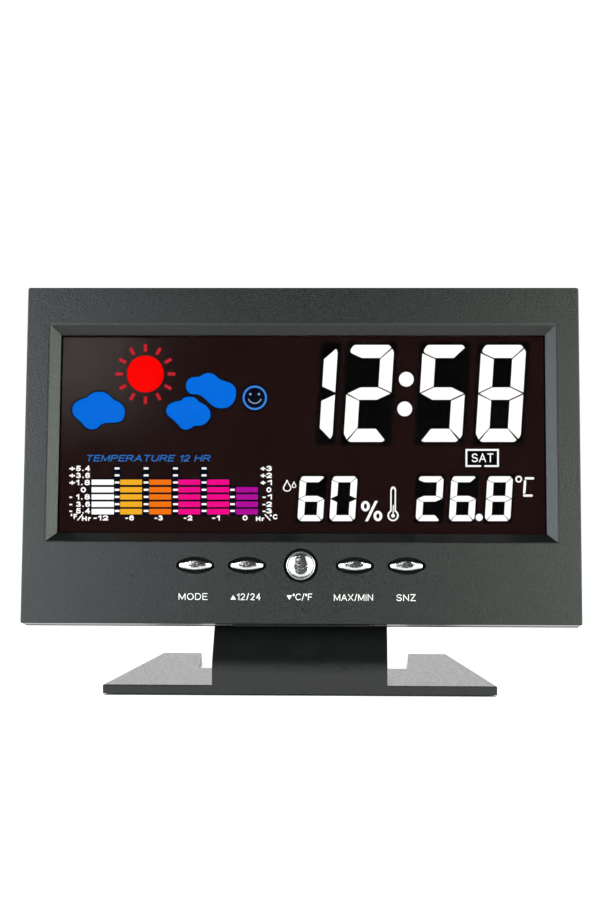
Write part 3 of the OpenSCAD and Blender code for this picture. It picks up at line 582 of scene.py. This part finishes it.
# the dark edge of the display, just inside its window
ink = Ink(*MASK)
ink.shape([drawn(x, u, MASK[1]) for x, u in ((-70.2, 24.2), (70.2, 24.2), (70.2, 83.8), (-70.2, 83.8))],
          [drawn(x, u, MASK[1]) for x, u in ((-68.75, 26.25), (68.7, 26.25), (68.7, 82.65), (-68.75, 82.65))])
ink.done("display_border", lit("border_black", 8, 6, 6, 1.0))

# the dark mask behind the figures, fading out in steps
for step, under, over, large, small, tone in (("faint", -4.699, -4.693, 5.0, 2.9, (24, 13, 12)), ("soft", -4.692, -4.687, 3.2, 1.9, (14, 8, 8)),
                                              ("black", -4.686, -4.675, 1.5, 0.9, (4, 3, 4))):
    ink = Ink(under, over)
    for group, top, wide, high, room in ((TIME, 344.9, 44.9, 97.0, large), (MOIST, 476.3, 25.5, 44.8, small), (WARM, 476.3, 25.5, 44.8, small)):
        for text, left in group:
            x0, x1, y0, y1 = left - room, left + wide + room, top - room, top + high + room
            if text == "1":
                x0 = left + wide * 0.64 + 2.6 - room
            k = 0.062 * (high / 2 + room)
            ink.shape(rounded([(x0 + k, y0), (x1 + k, y0), (x1 - k, y1), (x0 - k, y1)], [1.0 + room] * 4))
    if step == "black":
        ink.shape(disc(406.3, 379.3, 8.8))
        ink.shape(disc(404.7, 408.9, 8.8))
        ink.shape(disc(479.2, 517.4, 4.2, 40))
        ink.shape(box(464.0, 448.0, 500.4, 468.2, 1.0))
    ink.done(f"display_mask_{step}", lit(f"mask_{step}", *tone, 1.0))
ink = Ink(*MASK)
for cloud in CLOUDS:
    ink.shape(grown(smooth(cloud), 1.3))
ink.shape(disc(254.8, 397.8, 14.0, 64))
ink.shape(box(90.4, 478.4, 230.4, 515.6, 0.8))
ink.shape(box(230.4, 485.8, 259.4, 515.6, 0.8))
for x in (117.1, 146.1, 175.5, 204.1):
    ink.shape(box(x - 4.0, 465.6, x + 4.0, 478.2, 0.8))
ink.done("display_mask_blue", lit("mask_navy", 5, 9, 24, 1.0))

white = lit("lit_white", 255, 255, 255, 1.2)
ink = Ink(LOW, HIGH)
for text, left in TIME:
    figure(ink, text, left, 344.9, 44.9, 97.0, .295, .135, .062, 4.0)
ink.shape(disc(406.3, 379.3, 7.4))
ink.shape(disc(404.7, 408.9, 7.4))
ink.done("display_time", white)

ink = Ink(LOW, HIGH)
for text, left in MOIST:
    figure(ink, text, left, 476.3, 25.5, 44.8, .255, .133, .062, 1.6)
ink.shape(bow(365.4, 506.2, 4.4, 5.2, 0, 345, 31), bow(365.4, 506.2, 1.6, 2.6, 0, 345, 31))
ink.shape(bow(377.9, 516.0, 4.4, 5.2, 0, 345, 31), bow(377.9, 516.0, 1.6, 2.6, 0, 345, 31))
ink.shape([(374.9, 500.9), (377.8, 500.9), (368.0, 521.2), (365.1, 521.2)])
ink.shape(smooth(DROP), smooth([(287.2 + (x - 287.1) * 0.72, 487.3 + (y - 487.1) * 0.74) for x, y in DROP]))
ink.shape(smooth(SMALL_DROP), smooth([(294.1 + (x - 294.0) * 0.6, 485.6 + (y - 485.4) * 0.62) for x, y in SMALL_DROP]))
ink.done("display_humidity", white)

ink = Ink(LOW, HIGH)
for text, left in WARM:
    figure(ink, text, left, 476.3, 25.5, 44.8, .255, .133, .062, 1.6)
ink.shape(disc(479.2, 517.4, 3.6, 32))
ink.ring(518.7, 479.2, 3.4, 1.9, 32)
ink.shape(box(524.8, 477.2, 534.0, 479.5, 0.7))
ink.shape([(523.9, 480.2), (526.3, 480.6), (525.4, 493.3), (523.0, 493.9)])
ink.shape(box(523.2, 494.5, 532.6, 496.7, 0.7))
tube = [(390.2, 510.4), (390.4, 489.4), (391.4, 487.2), (393.1, 486.4), (394.9, 487.2), (396.0, 489.4), (395.9, 510.4), (398.2, 512.8), (398.8, 515.6), (397.9, 518.6), (395.8, 520.6), (393.0, 521.3), (390.2, 520.6), (388.1, 518.6), (387.3, 515.6), (388.0, 512.8)]
inner = [(391.6, 511.4), (391.7, 490.2), (393.2, 488.2), (394.7, 490.2), (394.5, 511.4), (396.7, 513.4), (397.2, 515.6), (396.5, 517.8), (395.0, 519.3), (393.0, 519.8), (391.0, 519.3), (389.5, 517.8), (388.9, 515.6), (389.5, 513.4)]
ink.shape(rounded(tube, [0.8] * len(tube)), rounded(inner, [0.5] * len(inner)))
ink.shape(disc(393.0, 515.7, 1.9, 28))
ink.shape(bar((393.1, 514.6), (393.25, 505.0), 1.0))
ink.done("display_temperature", white)

ink = Ink(LOW, HIGH)
ink.shape([(465.5, 466.9), (465.5, 449.0), (498.9, 449.0), (498.9, 466.9), (484.3, 466.9), (484.3, 465.2), (497.1, 465.2), (497.1, 450.8), (467.3, 450.8), (467.3, 465.2), (481.1, 465.2), (481.1, 466.9)])
ink.words("SAT", 471.6, 453.4, 493.4, 462.2, 1.15, gap=0.14)
ink.done("display_day", white)

# the chart: a column for each past hour, rows for each step of change
ink = Ink(LOW, HIGH)
ROWS = (468.4, 475.4, 482.5, 489.8, 496.9, 504.2, 510.9)
for x in (117.1, 146.1, 175.5, 204.1):
    for y in ROWS:
        ink.shape(box(x - 2.4, y - 1.0, x + 2.4, y + 1.0, 0.4))
for y in ROWS[3:]:
    ink.shape(box(230.2, y - 1.0, 234.8, y + 1.0, 0.4))
for text, y in zip(("+5.4", "+3.6", "+1.8", "0", "-1.8", "-3.6", "-5.4"), ROWS):
    if text[0] in "+-":
        ink.words(text[0], 69.4, y - 2.4, 75.0 if text[0] == "+" else 72.2, y + 2.6, 1.4)
        ink.words(text[1:], 76.2, y - 2.7, 90.0, y + 2.7, 1.25)
    else:
        ink.words(text, 80.7, y - 2.7, 86.0, y + 2.7, 1.4)
for text, y in zip(("+3", "+2", "+1", "0", "-1", "-2", "-3"), ROWS):
    if text[0] in "+-":
        ink.words(text[0], 260.6 if text[0] == "+" else 262.6, y - 2.4, 265.6, y + 2.6, 1.4)
    ink.words(text[-1], 267.6 if text[-1] == "1" else 266.4, y - 2.6, 271.9 if text != "0" else 271.4, y + 2.6, 1.25)
for text, x0, x1 in (("-12", 93.6, 108.2), ("-6", 125.4, 133.9), ("-3", 154.6, 162.8), ("-2", 183.8, 192.3), ("-1", 212.1, 219.8), ("0", 242.5, 247.6)):
    ink.words(text, x0, 515.3, x1, 520.5, 1.25, gap=0.16)
ink.words("°F", 70.6, 513.8, 77.2, 518.8, 1.2)
ink.shape(bar((77.4, 520.4), (82.6, 514.4), 1.1))
ink.words("Hr", 81.9, 516.2, 90.8, 520.8, 1.3)
ink.words("Hr", 255.9, 516.6, 264.2, 521.0, 1.3)
ink.shape(bar((264.8, 514.4), (270.4, 520.4), 1.1))
ink.words("°C", 269.8, 514.2, 277.6, 519.4, 1.2)
ink.done("display_scale", white)
ink = Ink(LOW, HIGH)
BANDS = ((479.6, 484.9), (487.1, 492.4), (494.3, 499.6), (501.6, 507.0), (508.9, 514.4))
for y0, y1 in BANDS:
    ink.shape(box(91.6, y0, 113.9, y1, 0.3))
ink.done("display_column_white", white)
for name, colour, columns, bands in (
    ("yellow", (255, 184, 40), ((120.2, 142.0),), BANDS),
    ("orange", (255, 122, 18), ((149.3, 171.2),), BANDS),
    ("magenta", (252, 10, 145), ((178.3, 200.2), (207.1, 229.2)), BANDS),
    ("purple", (182, 14, 162), ((236.0, 257.9),), BANDS[1:]),
):
    ink = Ink(LOW, HIGH)
    for x0, x1 in columns:
        for y0, y1 in bands:
            ink.shape(box(x0, y0, x1, y1, 0.3))
    ink.done(f"display_column_{name}", lit(f"lit_{name}", *colour, 1.0))

# the sky: sun, clouds and the comfort sign
ink = Ink(LOW, HIGH)
ink.shape(disc(145.4, 374.0, 18.4, 72))
ink.done("display_sun", lit("lit_red", 255, 0, 0, 1.05))
ink = Ink(LOW, HIGH)
for k in range(12):
    c, s = math.cos(k * math.pi / 6), math.sin(k * math.pi / 6)
    ink.shape(bar((145.4 + 22.4 * c, 374.0 + 22.4 * s), (145.4 + 29.9 * c, 374.0 + 29.9 * s), 3.2))
ink.done("display_rays", lit("lit_rose", 204, 34, 46, 1.0))
blue = lit("lit_blue", 4, 114, 238, 1.0)
ink = Ink(LOW, HIGH)
for cloud in CLOUDS:
    ink.shape(smooth(cloud))
ink.done("display_clouds", blue)
ink = Ink(LOW, HIGH)
ink.ring(254.8, 397.8, 12.2, 10.2, 64)
ink.done("display_comfort_ring", lit("lit_sky", 64, 138, 233, 1.0))
ink = Ink(LOW, HIGH)
for x in (250.3, 258.9):
    ink.shape(disc(x, 394.2, 1.2, 24))
ink.shape(arc(254.8, 396.6, 6.7, 20, 160, 1.05))
ink.done("display_comfort_face", lit("lit_pale", 140, 168, 208, 1.0))
ink = Ink(LOW, HIGH)
ink.words("TEMPERATURE 12 HR", 85.4, 455.0, 209.4, 461.4, 0.9, lean=0.3, gap=0.16)
ink.done("display_heading", lit("lit_deep_blue", 40, 124, 215, 1.0))

# legends printed under the keys
legend = surface("legend_white", (0.66, 0.66, 0.65), (0.76, 0.76, 0.75), (0.45, 0.6), grain=1500.0, bump=0.05)
ink = Ink(0.004, 0.03)
ink.words("MODE", 178.6, 593.2, 207.4, 599.9, 0.74)
ink.shape([(230.5, 599.6), (235.9, 599.6), (233.2, 595.2)])
ink.words("12/24", 237.0, 593.4, 260.4, 600.1, 0.74)
ink.shape([(286.7, 595.3), (291.9, 595.3), (289.3, 599.8)])
ink.words("°C/°F", 292.6, 593.6, 312.2, 600.3, 0.74, gap=0.1)
ink.words("MAX/MIN", 334.0, 594.1, 373.0, 600.8, 0.68, gap=0.17)
ink.words("SNZ", 396.4, 594.3, 415.6, 601.0, 0.74)
ink.done("legends", legend)

# ---------------------------------------------------------------- floor, light, camera
floor_mesh = bpy.data.meshes.new("floor")
bm = bmesh.new()
bmesh.ops.create_circle(bm, cap_ends=True, segments=96, radius=4.0)
bm.to_mesh(floor_mesh)
bm.free()
floor = bpy.data.objects.new("floor", floor_mesh)
floor.location = (0.0, 0.0, -0.00005)
scene.collection.objects.link(floor)
floor_white = surface("floor_white", (0.30, 0.30, 0.30), (0.33, 0.33, 0.33), (0.8, 0.9), grain=3.0, glow=((0.98, 0.98, 0.98), (1, 1, 1)), glow_power=0.98, level=0.0)
# painted contact shadow: the glowing floor's emission is darkened by ambient occlusion where something stands close
# above it
painted_contact_shadow = floor_white.node_tree.nodes.new("ShaderNodeAmbientOcclusion")
painted_contact_shadow.samples = 8
painted_contact_shadow.inputs["Distance"].default_value = 0.0012
power = floor_white.node_tree.nodes.new("ShaderNodeMapRange")
for key, v in (("From Min", 0.35), ("From Max", 0.85), ("To Min", 0.0), ("To Max", 0.98)):
    power.inputs[key].default_value = v
ft = floor_white.node_tree
ft.links.new(painted_contact_shadow.outputs["AO"], power.inputs["Value"])
# seen straight it is white all over, but what it throws on the object fades out well in front of it
spot, apart, fade = (ft.nodes.new(f"ShaderNode{k}") for k in ("TexCoord", "SeparateXYZ", "MapRange"))
ft.links.new(spot.outputs["Object"], apart.inputs["Vector"])
ft.links.new(apart.outputs["Y"], fade.inputs["Value"])
for key, v in (("From Min", -1.2), ("From Max", -0.13), ("To Min", 0.60), ("To Max", 1.0)):
    fade.inputs[key].default_value = v
straight, most, both = ft.nodes.new("ShaderNodeLightPath"), ft.nodes.new("ShaderNodeMath"), ft.nodes.new("ShaderNodeMath")
most.operation, both.operation = "MAXIMUM", "MULTIPLY"
ft.links.new(fade.outputs["Result"], most.inputs[0])
ft.links.new(straight.outputs["Is Camera Ray"], most.inputs[1])
ft.links.new(most.outputs["Value"], both.inputs[0])
ft.links.new(power.outputs["Result"], both.inputs[1])
ft.links.new(both.outputs["Value"], ft.nodes["Principled BSDF"].inputs["Emission Strength"])
floor_mesh.materials.append(floor_white)
floor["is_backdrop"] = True

world = bpy.data.worlds.new("studio")
scene.world = world
world.use_nodes = True
wt = world.node_tree
wt.nodes.clear()
out = wt.nodes.new("ShaderNodeOutputWorld")
way = wt.nodes.new("ShaderNodeTexCoord")
axes = wt.nodes.new("ShaderNodeSeparateXYZ")
wt.links.new(way.outputs["Generated"], axes.inputs["Vector"])


def ramped(value, low, high, top):
    """value's run from low to high, eased, as 0 to top."""
    r = wt.nodes.new("ShaderNodeMapRange")
    r.interpolation_type = "SMOOTHSTEP"
    for key, v in (("From Min", low), ("From Max", high), ("To Min", 0.0), ("To Max", top)):
        r.inputs[key].default_value = v
    wt.links.new(value, r.inputs["Value"])
    return r.outputs["Result"]


def glow(colour, power):
    b = wt.nodes.new("ShaderNodeBackground")
    b.inputs["Color"].default_value = (*colour, 1)
    if isinstance(power, float):
        b.inputs["Strength"].default_value = power
    else:
        wt.links.new(power, b.inputs["Strength"])
    return b.outputs["Background"]


def flipped(value):
    n = wt.nodes.new("ShaderNodeMath")
    n.operation = "MULTIPLY"
    n.inputs[1].default_value = -1.0
    wt.links.new(value, n.inputs[0])
    return n.outputs["Value"]


def times(one, other):
    n = wt.nodes.new("ShaderNodeMath")
    n.operation = "MULTIPLY"
    wt.links.new(one, n.inputs[0])
    wt.links.new(other, n.inputs[1])
    return n.outputs["Value"]


down, left, ahead = (flipped(axes.outputs[k]) for k in ("Z", "X", "Y"))
lights = [
    glow((0.96, 1.0, 0.97), 0.055),
    glow((0.98, 0.99, 1.0), ramped(down, -0.75, -0.10, 0.06)),
    glow((1.0, 0.98, 0.95), times(times(ramped(left, 0.087, 0.114, 1.0), ramped(axes.outputs["X"], -0.26, -0.22, 1.0)),
                                  times(times(ramped(axes.outputs["Z"], 0.356, 0.379, 1.0), ramped(down, -0.58, -0.53, 1.0)), ramped(ahead, 0.0, 0.1, 2.4)))),
    glow((1.0, 0.99, 0.98), times(ramped(axes.outputs["Y"], 0.00, 0.45, 3.0), ramped(down, -0.45, -0.22, 1.0))),
    glow((0.98, 0.99, 1.0), times(ramped(ahead, 0.5, 0.8, 1.3), ramped(down, -0.15, -0.06, 1.0))),
]
total = lights[0]
for light in lights[1:]:
    add = wt.nodes.new("ShaderNodeAddShader")
    wt.links.new(total, add.inputs[0])
    wt.links.new(light, add.inputs[1])
    total = add.outputs["Shader"]
path = wt.nodes.new("ShaderNodeLightPath")
pick = wt.nodes.new("ShaderNodeMixShader")
wt.links.new(path.outputs["Is Camera Ray"], pick.inputs["Fac"])
wt.links.new(total, pick.inputs[1])
wt.links.new(glow((1.0, 1.0, 1.0), 1.0), pick.inputs[2])
wt.links.new(pick.outputs["Shader"], out.inputs["Surface"])

for name, side, colour, power in (("left_panel", -1, (0.87, 0.96, 1.0), 1.60), ("right_panel", 1, (0.89, 1.0, 0.86), 1.70)):
    panel = bpy.data.lights.new(name, "AREA")
    panel.shape, panel.size, panel.size_y = "RECTANGLE", 0.305, 0.28
    panel.color, panel.energy = colour, power
    box_light = bpy.data.objects.new(name, panel)
    box_light.location = (side * 0.22, -0.14, 0.09)
    box_light.rotation_euler = (Vector((0.0, -0.005, 0.075)) - box_light.location).to_track_quat("-Z", "Y").to_euler()
    scene.collection.objects.link(box_light)

camera = bpy.data.cameras.new("camera")
camera.sensor_width = 36.0
camera.lens = FOCAL / 900 * 36.0
camera.clip_start, camera.clip_end = 0.01, 50.0
eye = bpy.data.objects.new("camera", camera)
eye.location = EYE * MM
eye.rotation_euler = AIM
scene.collection.objects.link(eye)
scene.camera = eye
scene.view_settings.view_transform = "Standard"

bpy.context.view_layer.update()
low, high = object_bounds()
